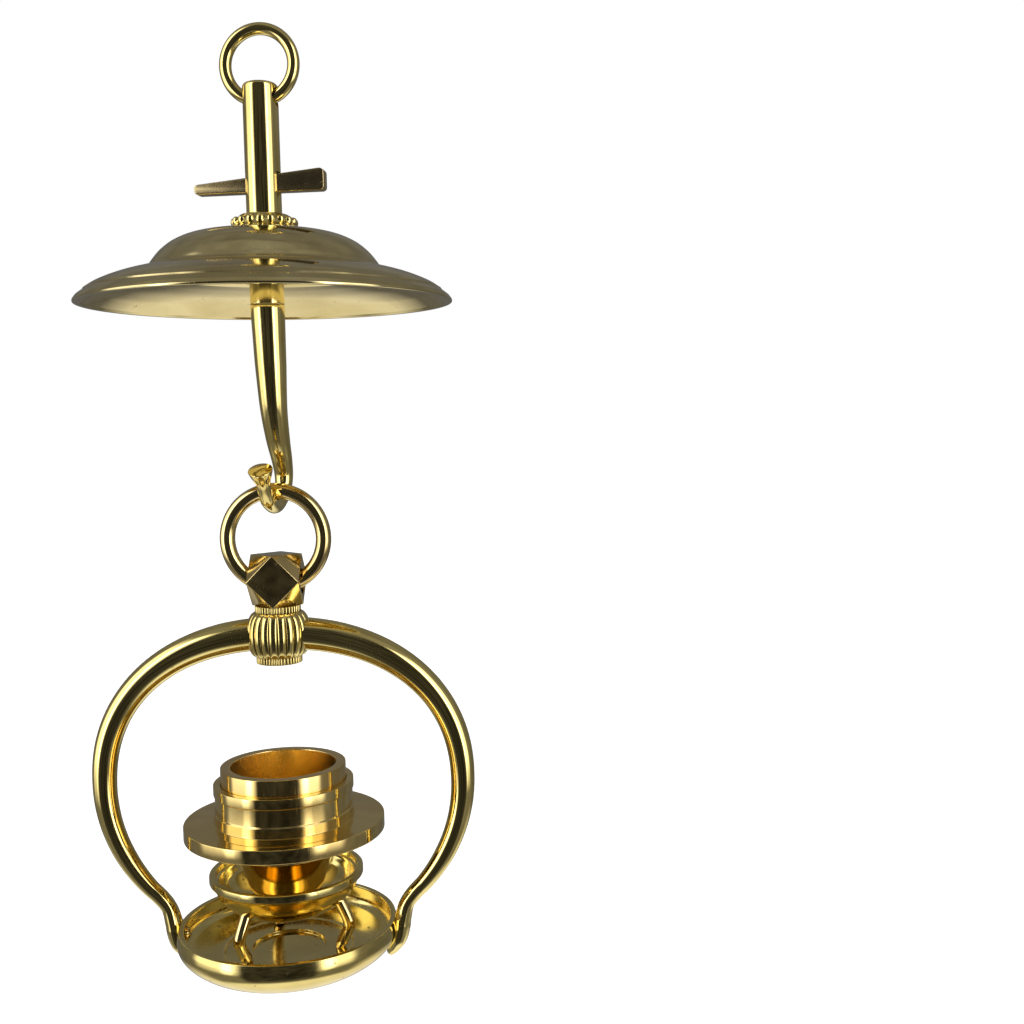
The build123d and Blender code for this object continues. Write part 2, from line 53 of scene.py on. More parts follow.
def arc_corner(before, corner, after, radius, steps=6):
    """Points of a round corner of the given radius between two straight runs."""
    back = (before - corner).normalized()
    ahead = (after - corner).normalized()
    half = back.angle(ahead) / 2
    reach = min(radius / math.tan(half), 0.49 * (before - corner).length, 0.49 * (after - corner).length)
    centre = corner + (back + ahead).normalized() * (reach / math.cos(half))
    first = corner + back * reach - centre
    last = corner + ahead * reach - centre
    turn = first.angle_signed(last)
    points = []
    for step in range(steps + 1):
        angle = -turn * step / steps
        spun = Matrix.Rotation(angle, 2) @ first
        points.append(centre + spun)
    return points


def rounded(corners, closed=True):
    """A run of (radius, height, corner radius) with its corners rounded."""
    places = [Vector((r, z)) for r, z, _ in corners]
    count = len(corners)
    points = []
    for index, (r, z, fillet) in enumerate(corners):
        inside = closed or 0 < index < count - 1
        if fillet > 0 and inside:
            points += arc_corner(places[index - 1], places[index], places[(index + 1) % count], fillet)
        else:
            points.append(places[index])
    return points


def smooth_run(places, steps=10):
    """A smooth curve through the places, with the given steps between two of them."""
    run = [Vector(p) for p in places]
    run = [2 * run[0] - run[1]] + run + [2 * run[-1] - run[-2]]
    points = []
    for a, b, c, d in zip(run, run[1:], run[2:], run[3:]):
        for step in range(steps):
            t = step / steps
            points.append(0.5 * (2 * b + (c - a) * t + (2 * a - 5 * b + 4 * c - d) * t * t
                                 + (3 * b - a - 3 * c + d) * t ** 3))
    points.append(run[-2])
    return points


def lengths(points):
    """Each point's share of the whole length along a run."""
    along = [0.0]
    for a, b in zip(points, points[1:]):
        along.append(along[-1] + (b - a).length)
    return [value / along[-1] for value in along]


def read_taper(stations, share):
    """The value at a share, on straight lines between rows of (share, value)."""
    for (low, start), (high, end) in zip(stations, stations[1:]):
        if share <= high:
            t = (share - low) / (high - low)
            return start + (end - start) * t
    return stations[-1][1]


# ---------------------------------------------------------------- meshes

def make_object(name, verts, faces, sharp=SHARP_ANGLE):
    """A smooth-shaded object from millimetre vertices, creased where faces turn sharply."""
    mesh = bpy.data.meshes.new(name)
    mesh.from_pydata([Vector(v) * MM for v in verts], [], faces)
    mesh.validate()
    work = bmesh.new()
    work.from_mesh(mesh)
    bmesh.ops.recalc_face_normals(work, faces=work.faces)
    work.to_mesh(mesh)
    work.free()
    finish_shading(mesh, sharp)
    item = bpy.data.objects.new(name, mesh)
    bpy.context.scene.collection.objects.link(item)
    return item


def finish_shading(mesh, sharp=SHARP_ANGLE):
    mesh.shade_smooth()
    mesh.set_sharp_from_angle(angle=sharp)


def lathe(name, outline, steps=ROUND_STEPS, shape=None, closed=True):
    """Turn an outline of (radius, height) about Z. shape(angle, r, z) may move a point."""
    verts = []
    rings = []
    for r, z in outline:
        if r < 1e-6:
            rings.append([len(verts)])
            verts.append((0, 0, z))
            continue
        ring = []
        for step in range(steps):
            angle = 2 * math.pi * step / steps
            rr, zz = shape(angle, r, z) if shape else (r, z)
            ring.append(len(verts))
            verts.append((rr * math.cos(angle), rr * math.sin(angle), zz))
        rings.append(ring)
    faces = []
    pairs = list(zip(rings, rings[1:]))
    if closed:
        pairs.append((rings[-1], rings[0]))
    for low, high in pairs:
        if len(low) == 1 and len(high) == 1:
            continue
        for step in range(steps):
            after = (step + 1) % steps
            if len(low) == 1:
                faces.append((low[0], high[after], high[step]))
            elif len(high) == 1:
                faces.append((low[step], low[after], high[0]))
            else:
                faces.append((low[step], low[after], high[after], high[step]))
    return make_object(name, verts, faces)


def sweep(name, centres, flats, wides, across, steps=64, loop=False):
    """A bar along centres. flats are half thicknesses in the path's plane, wides across it."""
    verts = []
    count = len(centres)
    for index, centre in enumerate(centres):
        before = centres[index - 1] if index or loop else centre
        after = centres[(index + 1) % count] if index < count - 1 or loop else centre
        along = (after - before).normalized()
        side = across.cross(along).normalized()
        for step in range(steps):
            angle = 2 * math.pi * step / steps
            along_side = side * flats[index] * math.cos(angle)
            along_across = across * wides[index] * math.sin(angle)
            verts.append(centre + along_side + along_across)
    faces = []
    spans = count if loop else count - 1
    for span in range(spans):
        here = span * steps
        there = ((span + 1) % count) * steps
        for step in range(steps):
            after = (step + 1) % steps
            faces.append((here + step, here + after, there + after, there + step))
    if not loop:
        faces.append(tuple(range(steps)))
        faces.append(tuple(range((count - 1) * steps, count * steps)))
    return make_object(name, verts, faces)


def wire_ring(name, mean_r, wire_r, z):
    """A closed ring of wire that stands in the XZ plane."""
    steps = 160
    centres = []
    for step in range(steps):
        angle = 2 * math.pi * step / steps
        centres.append(Vector((mean_r * math.sin(angle), 0, z + mean_r * math.cos(angle))))
    return sweep(name, centres, [wire_r] * steps, [wire_r] * steps, Vector((0, 1, 0)), steps=48, loop=True)


def bar(name, radius, start, end):
    """A plain round bar between two points, used as a cutter."""
    start, end = Vector(start), Vector(end)
    along = (end - start).normalized()
    across = Vector((0, 1, 0)) if abs(along.y) < 0.5 else Vector((1, 0, 0))
    return sweep(name, [start, end], [radius] * 2, [radius] * 2, across, steps=96)


def block(name, low, high):
    verts = [(x, y, z) for x in (low[0], high[0]) for y in (low[1], high[1]) for z in (low[2], high[2])]
    faces = [(0, 1, 3, 2), (4, 6, 7, 5), (0, 4, 5, 1), (2, 3, 7, 6), (0, 2, 6, 4), (1, 5, 7, 3)]
    return make_object(name, verts, faces)


def apply_modifiers(item):
    """Keep an object's evaluated mesh and drop its modifiers."""
    bpy.context.view_layer.update()
    graph = bpy.context.evaluated_depsgraph_get()
    mesh = bpy.data.meshes.new_from_object(item.evaluated_get(graph))
    item.modifiers.clear()
    item.data = mesh
    finish_shading(mesh)
    return item


def cut(item, cutter):
    """Take a cutter's shape away from an object by an exact boolean, and remove the cutter."""
    boolean = item.modifiers.new("shape", "BOOLEAN")
    boolean.operation = "DIFFERENCE"
    boolean.solver = "EXACT"
    boolean.object = cutter
    apply_modifiers(item)
    bpy.data.objects.remove(cutter)
    return item


def soften_edges(item, width, angle=math.radians(30)):
    """Break an object's sharp edges with a small round."""
    bevel = item.modifiers.new("edges", "BEVEL")
    bevel.width = width * MM
    bevel.segments = 3
    bevel.limit_method = "ANGLE"
    bevel.angle_limit = angle
    bevel.harden_normals = False
    return apply_modifiers(item)


def turn_upper(item):
    """Turn a piece of the upper hanger about Z, to stand as it hangs."""
    item.data.transform(Matrix.Rotation(UPPER_YAW, 4, "Z"))
    return item


# ---------------------------------------------------------------- materials

def node(tree, kind, **values):
    item = tree.nodes.new(kind)
    for name, value in values.items():
        setattr(item, name, value)
    return item


def math_node(tree, operation, first, second=0.0):
    item = node(tree, "ShaderNodeMath", operation=operation)
    for index, value in enumerate((first, second)):
        if isinstance(value, (int, float)):
            item.inputs[index].default_value = value
        else:
            tree.links.new(value, item.inputs[index])
    return item.outputs[0]


def noise(tree, vector, scale, detail=3.0, rough=0.5, distortion=0.0):
    item = node(tree, "ShaderNodeTexNoise")
    item.inputs["Scale"].default_value = scale
    item.inputs["Detail"].default_value = detail
    item.inputs["Roughness"].default_value = rough
    item.inputs["Distortion"].default_value = distortion
    tree.links.new(vector, item.inputs["Vector"])
    return item.outputs["Fac"]


def remap(tree, value, low, high, to_low, to_high):
    item = node(tree, "ShaderNodeMapRange")
    item.inputs["From Min"].default_value = low
    item.inputs["From Max"].default_value = high
    item.inputs["To Min"].default_value = to_low
    item.inputs["To Max"].default_value = to_high
    tree.links.new(value, item.inputs["Value"])
    return item.outputs["Result"]


def mix_colour(tree, factor, first, second):
    item = node(tree, "ShaderNodeMix", data_type="RGBA")
    tree.links.new(factor, item.inputs["Factor"])
    for socket, value in ((item.inputs["A"], first), (item.inputs["B"], second)):
        if isinstance(value, tuple):
            socket.default_value = (*value, 1.0)
        else:
            tree.links.new(value, socket)
    return item.outputs["Result"]


def stretched(tree, coords, turn, stretch):
    """Coordinates squeezed along one direction, so noise on them makes long fine lines."""
    item = node(tree, "ShaderNodeMapping")
    item.inputs["Rotation"].default_value = turn
    item.inputs["Scale"].default_value = stretch
    tree.links.new(coords, item.inputs["Vector"])
    return item.outputs["Vector"]


def hairlines(tree, coords, turn, scale, width):
    """A mask of scattered hair scratches in one direction."""
    lines = noise(tree, stretched(tree, coords, turn, (1.0, 0.04, 0.06)), scale, detail=1.0, rough=0.4)
    patches = noise(tree, coords, 60.0, detail=1.0)
    line = remap(tree, lines, 0.5 - width, 0.5, 0.0, 1.0)
    line = math_node(tree, "PINGPONG", line, 0.5)
    line = remap(tree, line, 0.35, 0.5, 0.0, 1.0)
    return math_node(tree, "MULTIPLY", line, remap(tree, patches, 0.5, 0.62, 0.0, 1.0))


def turning_rings(tree, coords, pitch):
    """Fine rings about the Z axis, as a lathe tool or a polishing wheel leaves."""
    parts = node(tree, "ShaderNodeSeparateXYZ")
    tree.links.new(coords, parts.inputs[0])
    squares = [math_node(tree, "MULTIPLY", parts.outputs[i], parts.outputs[i]) for i in (0, 1)]
    radius = math_node(tree, "SQRT", math_node(tree, "ADD", *squares))
    together = node(tree, "ShaderNodeCombineXYZ")
    tree.links.new(radius, together.inputs[0])
    tree.links.new(parts.outputs[2], together.inputs[1])
    return noise(tree, together.outputs[0], 1.0 / (pitch * MM), detail=2.0, rough=0.6)


def brass(name, tint=(0.90, 0.74, 0.29), deep=(0.74, 0.58, 0.20), polish=0.07, rings=0.0, specks=0.35,
          grime_and_shade=0.0, uneven=0.30, streak=0.0):
    """Yellow brass with clouds, hair scratches and tarnish specks.

    rings is the height of the turning rings, grime_and_shade darkens hollows found by ambient occlusion
    as painted shade and grime, uneven is the height of the clouds, and streak is the shader's anisotropy,
    with its tangent running round Z.
    """
    material = bpy.data.materials.new(name)
    material.use_nodes = True
    tree = material.node_tree
    shader = tree.nodes["Principled BSDF"]
    coords = node(tree, "ShaderNodeTexCoord").outputs["Object"]
    cloud = noise(tree, coords, 55.0, detail=4.0, distortion=0.6)
    colour = mix_colour(tree, remap(tree, cloud, 0.38, 0.72, 0.0, 1.0), tint, deep)
    fine = noise(tree, coords, 900.0, detail=2.0)
    speck = remap(tree, noise(tree, coords, 420.0, detail=3.0, rough=0.65), 0.66, 0.72, 0.0, specks)
    colour = mix_colour(tree, speck, colour, (0.20, 0.12, 0.045))
    roughness = remap(tree, cloud, 0.3, 0.75, polish * 0.7, polish * 1.5)
    roughness = math_node(tree, "ADD", roughness, remap(tree, fine, 0.4, 0.7, 0.0, 0.02))
    roughness = math_node(tree, "ADD", roughness, math_node(tree, "MULTIPLY", speck, 0.5))
    height = remap(tree, cloud, 0.0, 1.0, 0.0, uneven)
    for turn in ((0.3, 0.9, 0.2), (1.2, 0.1, 2.2), (2.4, 1.5, 0.8)):
        scratch = hairlines(tree, coords, turn, 2200.0, 0.06)
        roughness = math_node(tree, "ADD", roughness, math_node(tree, "MULTIPLY", scratch, 0.14))
        height = math_node(tree, "SUBTRACT", height, math_node(tree, "MULTIPLY", scratch, 0.012))
    if rings:
        ring = turning_rings(tree, coords, 0.22)
        height = math_node(tree, "ADD", height, math_node(tree, "MULTIPLY", ring, rings))
        ring_haze = 0.08 * min(1.0, rings * 8)
        roughness = math_node(tree, "ADD", roughness, remap(tree, ring, 0.3, 0.8, 0.0, ring_haze))
    # Painted shade and grime: hollows found by ambient occlusion get a darker brown colour and more
    # roughness.
    if grime_and_shade:
        hollow = node(tree, "ShaderNodeAmbientOcclusion", samples=8)
        hollow.inputs["Distance"].default_value = 1.5 * MM
        hollow_grime_and_shade = remap(tree, hollow.outputs["AO"], 0.35, 0.85, grime_and_shade, 0.0)
        colour = mix_colour(tree, hollow_grime_and_shade, colour, (0.10, 0.055, 0.02))
        roughness = math_node(tree, "ADD", roughness, math_node(tree, "MULTIPLY", hollow_grime_and_shade, 0.3))
    bump = node(tree, "ShaderNodeBump")
    bump.inputs["Strength"].default_value = 0.35
    bump.inputs["Distance"].default_value = 0.12 * MM
    tree.links.new(height, bump.inputs["Height"])
    tree.links.new(bump.outputs["Normal"], shader.inputs["Normal"])
    tree.links.new(colour, shader.inputs["Base Color"])
    tree.links.new(roughness, shader.inputs["Roughness"])
    shader.inputs["Metallic"].default_value = 1.0
    if streak:
        tangent = node(tree, "ShaderNodeTangent", direction_type="RADIAL", axis="Z")
        tree.links.new(tangent.outputs[0], shader.inputs["Tangent"])
        shader.inputs["Anisotropic"].default_value = streak
    return material


polished = brass("polished_brass", specks=0.25)
worn = brass("worn_brass", (0.84, 0.67, 0.30), (0.62, 0.46, 0.19), polish=0.09, specks=0.5)
aged = brass("aged_brass", (0.62, 0.50, 0.26), (0.42, 0.31, 0.15), polish=0.22, specks=0.7)
spun = brass("spun_brass", (0.80, 0.67, 0.34), (0.64, 0.52, 0.23), rings=0.03, polish=0.07, specks=0.45)
dish_metal = brass("dish_brass", rings=0.04, polish=0.10, specks=0.6)
turned = brass("turned_brass", (0.90, 0.70, 0.28), (0.74, 0.53, 0.19), rings=0.05, polish=0.07, specks=0.2,
               uneven=0.10, streak=0.35)
satin_turned = brass("satin_turned_brass", (0.91, 0.67, 0.26), (0.80, 0.54, 0.19), rings=0.04, polish=0.07,
                     specks=0.1, uneven=0.06, streak=0.5)
bore_metal = brass("satin_bore_brass", (0.95, 0.76, 0.36), (0.90, 0.68, 0.29), rings=0.03, polish=0.17,
                   specks=0.05, uneven=0.03, streak=0.85)
chased = brass("chased_brass", polish=0.09, grime_and_shade=0.9, specks=0.3)


def dress(item, material, body, slot, *replaced):
    """Give a piece its metal, its body and the CAD nodes that it stands for."""
    item.data.materials.clear()
    item.data.materials.append(material)
    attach(item, body)
    if replaced:
        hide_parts(*replaced)


# ---------------------------------------------------------------- upper hanger

HANG_RING_MEAN_R = 8.55
HANG_RING_WIRE_R = 1.5
STEM_R = 4.3
STEM_TOP_Z = -11.5
STEM_HOLE_Z = -14.93
STEM_HOLE_R = 2.3
STEM_BORE_TOP_Z = -29.0
STEM_END_Z = -47.0
TENON_R = 2.8
TENON_BORE_R = 2.85
TENON_TOP_Z = -29.5
WEDGE_BOTTOM_Z = -37.7
WEDGE_BIG_X = 15.6
WEDGE_SMALL_X = -17.1
WEDGE_BIG_H = 5.4
WEDGE_SMALL_H = 2.4
WEDGE_T = 3.3
SLOT_SIDE_GAP = 0.1
SLOT_END_GAP = 0.5
SEAT_PLAY = 0.02
SHADE_UNDER_Z = -48.2
SLEEVE_R = 4.2
SLEEVE_END_Z = -64.8
HOOK_LOW_Z = -114.4
HOOK_WIRE_R = 1.9


def wedge_height(x):
    slope = (WEDGE_BIG_H - WEDGE_SMALL_H) / (WEDGE_BIG_X - WEDGE_SMALL_X)
    return WEDGE_SMALL_H + slope * (x - WEDGE_SMALL_X)


def build_hanging_ring():
    centre_z = -(HANG_RING_MEAN_R - HANG_RING_WIRE_R)
    item = turn_upper(wire_ring("hanging_ring_wire", HANG_RING_MEAN_R, HANG_RING_WIRE_R, centre_z))
    dress(item, polished, "hanger", "polished_brass", "hanging_ring")


def build_stem():
    outline = rounded([
        (0, STEM_TOP_Z, 0),
        (STEM_R, STEM_TOP_Z, 1.1),
        (STEM_R, STEM_END_Z, 0),
        (TENON_BORE_R, STEM_END_Z, 0),
        (TENON_BORE_R, STEM_BORE_TOP_Z, 0),
        (0, STEM_BORE_TOP_Z, 0),
    ], closed=False)
    item = lathe("stem_tube_body", outline, closed=False)
    hole_reach, slot_reach = 6, 8
    cross_hole = bar("cutter", STEM_HOLE_R, (-hole_reach, 0, STEM_HOLE_Z), (hole_reach, 0, STEM_HOLE_Z))
    item = cut(item, cross_hole)
    slot_top = WEDGE_BOTTOM_Z + wedge_height(STEM_R) + SLOT_END_GAP
    half_slot = WEDGE_T / 2 + SLOT_SIDE_GAP
    slot = block("cutter", (-slot_reach, -half_slot, WEDGE_BOTTOM_Z), (slot_reach, half_slot, slot_top))
    item = cut(item, slot)
    item = soften_edges(item, 0.12)
    dress(turn_upper(item), polished, "canopy", "polished_brass", "stem_tube")


def build_wedge():
    corners = rounded([
        (WEDGE_SMALL_X, WEDGE_BOTTOM_Z, 1.0),
        (WEDGE_BIG_X, WEDGE_BOTTOM_Z, 1.0),
        (WEDGE_BIG_X, WEDGE_BOTTOM_Z + WEDGE_BIG_H, 1.2),
        (WEDGE_SMALL_X, WEDGE_BOTTOM_Z + WEDGE_SMALL_H, 1.0),
    ])
    count = len(corners)
    verts = [(p[0], side * WEDGE_T / 2, p[1]) for side in (-1, 1) for p in corners]
    faces = [tuple(range(count)), tuple(range(count, 2 * count))]
    for index in range(count):
        after = (index + 1) % count
        faces.append((index, after, count + after, count + index))
    item = soften_edges(make_object("wedge_key", verts, faces), 0.3, math.radians(50))
    dress(turn_upper(item), aged, "key", "polished_brass", "wedge")


def build_bead_collar():
    """A flared washer with a ring of beads raised from its shoulder."""
    base_z = STEM_END_Z
    top_z = base_z + 4.0
    bead_r, bead_ring_r, beads = 0.98, 7.4, 18
    outline = rounded([
        (STEM_R + 0.03, base_z, 0),
        (9.8, base_z, 0),
        (9.8, base_z + 0.35, 0.15),
        (8.6, base_z + 0.75, 0.4),
        (7.9, base_z + 1.35, 0.3),
        (7.4, base_z + 2.2, 0.4),
        (5.9, top_z - 0.1, 0.6),
        (STEM_R + 0.03, top_z, 0),
    ])
    places = []
    for a, b in zip(outline, outline[1:] + outline[:1]):
        parts = max(1, round((b - a).length / 0.14))
        places += [a.lerp(b, step / parts) for step in range(parts)]
    bead_centre = Vector((bead_ring_r, base_z + 2.2))

    def raise_beads(angle, r, z):
        sector = 2 * math.pi / beads
        offset = (angle / sector - round(angle / sector)) * sector * r
        away = Vector((r, z)) - bead_centre
        gap = bead_r ** 2 - offset ** 2 - away.length_squared
        if gap <= 0 or z <= base_z + 0.8:
            return r, z
        lift = math.sqrt(gap) * 0.85
        return r + lift * 0.66, min(z + lift * 0.75, top_z)

    item = lathe("bead_collar_ring", places, steps=beads * 22, shape=raise_beads)
    dress(turn_upper(item), chased, "canopy", "spun_brass", "bead_collar")


def build_shade():
    """The spun umbrella, with a rolled step round its rim and a lip under it."""
    crown = smooth_run([(4.4, -47.0), (11.8, -47.25), (18.0, -48.2), (22.2, -49.9), (25.2, -52.2),
                        (27.2, -54.6), (28.1, -56.0)])
    brim = smooth_run([(28.6, -56.4), (32.0, -57.1), (36.5, -58.4), (40.6, -60.1), (43.0, -61.6)])
    edge = rounded([(43.0, -61.6, 0), (43.2, -62.05, 0.2), (43.55, -62.25, 0.2), (44.8, -63.2, 0.8),
                    (45.45, -64.1, 0.4), (45.45, -64.6, 0.2), (44.2, -64.6, 0.25), (43.75, -64.0, 0.3),
                    (42.5, -63.0, 0.4)], closed=False)
    under_brim = smooth_run([(42.0, -62.6), (40.0, -61.3), (36.1, -59.6), (31.8, -58.3), (27.9, -57.35)])
    under_crown = smooth_run([(27.2, -56.8), (26.2, -55.3), (24.3, -53.1), (21.5, -51.0), (17.6, -49.4),
                              (11.7, -48.45), (4.4, SHADE_UNDER_Z)])
    outline = [Vector((TENON_BORE_R, STEM_END_Z))] + crown + brim + edge[1:] + under_brim + under_crown
    outline.append(Vector((TENON_BORE_R, SHADE_UNDER_Z)))
    item = lathe("shade_umbrella", outline, steps=256)
    dress(item, spun, "canopy", "spun_brass", "shade")


def build_sleeve():
    outline = rounded([
        (TENON_BORE_R, SHADE_UNDER_Z - SEAT_PLAY, 0),
        (SLEEVE_R, SHADE_UNDER_Z - SEAT_PLAY, 0),
        (SLEEVE_R, SLEEVE_END_Z, 0.25),
        (TENON_BORE_R, SLEEVE_END_Z, 0),
    ])
    item = lathe("spacer_sleeve_tube", outline)
    dress(item, polished, "canopy", "polished_brass", "spacer_sleeve")


def build_hook():
    """One bar from the slotted tenon, down the tapering shank, round the bend to the flared tip."""
    run = smooth_run([(0, SLEEVE_END_Z - 0.25), (0.45, -72.5), (1.0, -80.0), (2.1, -90.0), (4.6, -97.6),
                      (7.3, -103.0), (8.5, -107.2), (7.4, -110.9), (4.0, -113.6), (0, HOOK_LOW_Z),
                      (-4.2, -113.0), (-6.2, -111.1), (-7.6, -108.9)], steps=14)
    radii = [(0.0, SLEEVE_R), (0.22, 3.85), (0.37, 3.4), (0.5, 3.0), (0.62, 2.5), (0.7, 2.15),
             (0.78, HOOK_WIRE_R), (0.92, HOOK_WIRE_R), (1.0, 1.7)]
    shank = [read_taper(radii, share) for share in lengths(run)]
    tip_direction = Vector((-0.5, 0.866)).normalized()
    head = [(0.8, 1.78), (1.6, 2.03), (2.5, 2.4), (3.4, 2.74), (4.15, 2.95), (4.42, 3.0), (4.54, 2.95),
            (4.6, 2.84)]
    shoulder = Vector((0, SLEEVE_END_Z))
    points = [Vector((0, TENON_TOP_Z)), shoulder, shoulder - Vector((0, 0.01)), shoulder - Vector((0, 0.1))]
    sizes = [TENON_R, TENON_R, SLEEVE_R - 0.2, SLEEVE_R - 0.03]
    points += run + [run[-1] + tip_direction * along for along, _ in head]
    sizes += shank + [radius for _, radius in head]
    centres = [Vector((0, y, z)) for y, z in points]
    item = sweep("hook_forged", centres, sizes, sizes, Vector((1, 0, 0)))
    reach = TENON_R + 1
    half = WEDGE_T / 2 + SLOT_SIDE_GAP
    low = WEDGE_BOTTOM_Z - SLOT_END_GAP
    high = WEDGE_BOTTOM_Z + wedge_height(reach) + SEAT_PLAY
    cutter = block("cutter", (-reach, -half, low), (reach, half, high))
    item = cut(item, cutter)
    dress(turn_upper(item), polished, "canopy", "polished_brass", "hook")


# ---------------------------------------------------------------- swing ring, block and knot

SWING_RING_MEAN_R = 12.0
SWING_RING_WIRE_R = 1.925
RING_GAP = 0.05
SWING_RING_Z = HOOK_LOW_Z + HOOK_WIRE_R + RING_GAP + SWING_RING_WIRE_R - SWING_RING_MEAN_R
BLOCK_HALF = 6.45
BLOCK_Z = -132.8
BLOCK_HOLE_Z = -133.4
BLOCK_HOLE_R = 3.1
NECK_R = 5.7
NECK_TOP_Z = BLOCK_Z - BLOCK_HALF
NECK_END_Z = -140.9
KNOT_END_Z = -151.9
NUT_END_Z = -153.7
KNOT_R = 8.0
KNOT_END_R = 5.75


def build_swing_ring():
    item = wire_ring("swing_ring_wire", SWING_RING_MEAN_R, SWING_RING_WIRE_R, SWING_RING_Z)
    dress(item, worn, "link", "polished_brass", "swing_ring")


def build_block():
    """A cuboctahedron: square diamonds on the sides of a cube and a triangle at each corner."""
    work = bmesh.new()
    for axis in range(3):
        for first in (-1, 1):
            for second in (-1, 1):
                corner = [first * BLOCK_HALF, second * BLOCK_HALF]
                corner.insert(axis, 0)
                work.verts.new(Vector(corner))
    bmesh.ops.convex_hull(work, input=work.verts)
    bmesh.ops.dissolve_limit(work, angle_limit=math.radians(5), verts=work.verts, edges=work.edges)
    verts = [tuple(v.co + Vector((0, 0, BLOCK_Z))) for v in work.verts]
    work.verts.index_update()
    faces = [tuple(v.index for v in face.verts) for face in work.faces]
    work.free()
    item = make_object("faceted_block_body", verts, faces, sharp=math.radians(20))
    reach = 8
    hole = bar("cutter", BLOCK_HOLE_R, (-reach, 0, BLOCK_HOLE_Z), (reach, 0, BLOCK_HOLE_Z))
    item = cut(item, hole)
    item = soften_edges(item, 0.14)
    dress(item, worn, "bail", "polished_brass", "faceted_block")


def fluted(name, node_name, low_z, high_z):
    """A short reeded disc: rounded reeds with narrow grooves between them."""
    flutes, core_r, depth = 40, 2.0, 0.30
    outline = rounded([(core_r, high_z, 0), (NECK_R, high_z, 0.12), (NECK_R, low_z, 0.12),
                       (core_r, low_z, 0)])

    def reed(angle, r, z):
        if r < NECK_R - 0.5:
            return r, z
        wave = abs(math.sin(flutes * angle / 2))
        return r - depth * (1 - wave ** 0.6), z

    item = lathe(name, outline, steps=flutes * 12, shape=reed)
    dress(item, chased, "bail", "polished_brass", node_name)


def build_knot():
    """The gadrooned barrel that the bail passes through."""
    middle = (NECK_END_Z + KNOT_END_Z) / 2
    half = (NECK_END_Z - KNOT_END_Z) / 2
    ribs = 22
    rows = 40
    outline = [Vector((0, NECK_END_Z))]
    for row in range(rows + 1):
        t = 1 - 2 * row / rows
        bulge = (KNOT_R - KNOT_END_R) * math.sqrt(1 - 0.98 * t * t)
        outline.append(Vector((KNOT_END_R + bulge, middle + half * t)))
    outline.append(Vector((0, KNOT_END_Z)))

    def rib(angle, r, z):
        t = (z - middle) / half
        depth = 0.62 * max(0.0, 1 - abs(t) ** 3.0) + 0.08
        across = (ribs * angle / (2 * math.pi)) % 1.0 * 2 - 1
        return r - depth * (1 - math.sqrt(max(0.0, 1 - abs(across) ** 2.2))), z

    item = lathe("ribbed_knot_barrel", outline, steps=ribs * 20, shape=rib, closed=False)
    dress(item, chased, "bail", "polished_brass", "ribbed_knot")


# ---------------------------------------------------------------- bail and dish

BAIL_Z = -184.6
BAIL_HALF_W = 45.4
BAIL_CROWN_H = 38.2
BAIL_LOWER_H = 42.0
BAIL_SHOULDER_POWER = 2.2
DISH_RIM_R = 27.3
DISH_RIM_Z = -220.3
DISH_MAX_R = 27.7
DISH_MAX_Z = -223.6
DISH_BOTTOM_Z = -230.8
DISH_FLOOR_Z = -227.0


def bail_path():
    """The bail's centre line on the +X side, from its crown to the leaf's end."""
    points = []
    fullness = 2 / BAIL_SHOULDER_POWER
    for angle in range(0, 131, 2):
        across, up = math.sin(math.radians(angle)), math.cos(math.radians(angle))
        if angle < 90:
            x = BAIL_HALF_W * across ** fullness
            points.append(Vector((x, BAIL_Z + BAIL_CROWN_H * up ** fullness)))
        else:
            points.append(Vector((BAIL_HALF_W * across, BAIL_Z + BAIL_LOWER_H * up)))
    foot = smooth_run([points[-1], (32.2, -214.2), (30.3, -216.9), (29.3, -220.6), (28.3, -225.3),
                       (25.7, -229.7)], 8)
    return points[:-1] + foot


def dish_outside():
    """The dish's outer wall, from its foot up to just under the rim."""
    return smooth_run([(13.5, DISH_BOTTOM_Z), (18.5, -230.45), (22.4, -229.2), (25.4, -227.2),
                       (27.1, -225.3), (DISH_MAX_R, DISH_MAX_Z), (27.65, -221.8),
                       (27.35, DISH_RIM_Z - 0.3)])


def build_bail():
    path = bail_path()
    flats = [(0, 4.2), (0.12, 4.05), (0.25, 3.7), (0.38, 3.35), (0.5, 3.15), (0.62, 2.9), (0.74, 2.55),
             (0.83, 2.1), (0.88, 1.95), (0.93, 2.25), (0.965, 2.1), (0.99, 1.45), (1.0, 0.9)]
    wides = [(0, 4.2), (0.12, 4.05), (0.25, 3.7), (0.38, 3.35), (0.5, 3.15), (0.62, 2.9), (0.74, 2.55),
             (0.83, 2.15), (0.88, 2.2), (0.93, 2.9), (0.965, 2.7), (0.99, 1.9), (1.0, 1.2)]
    shares = lengths(path)
    right = [Vector((x, 0, z)) for x, z in path]
    left = [Vector((-x, 0, z)) for x, z in path]
    flat = [read_taper(flats, share) for share in shares]
    wide = [read_taper(wides, share) for share in shares]
    centres = left[:0:-1] + right
    item = sweep("bail_rod", centres, flat[:0:-1] + flat, wide[:0:-1] + wide, Vector((0, 1, 0)))
    outline = [Vector((0, DISH_BOTTOM_Z))] + dish_outside() + [Vector((0, DISH_RIM_Z))]
    envelope = lathe("envelope", outline, closed=False)
    item = cut(item, envelope)
    dress(item, polished, "bail", "polished_brass", "bail")


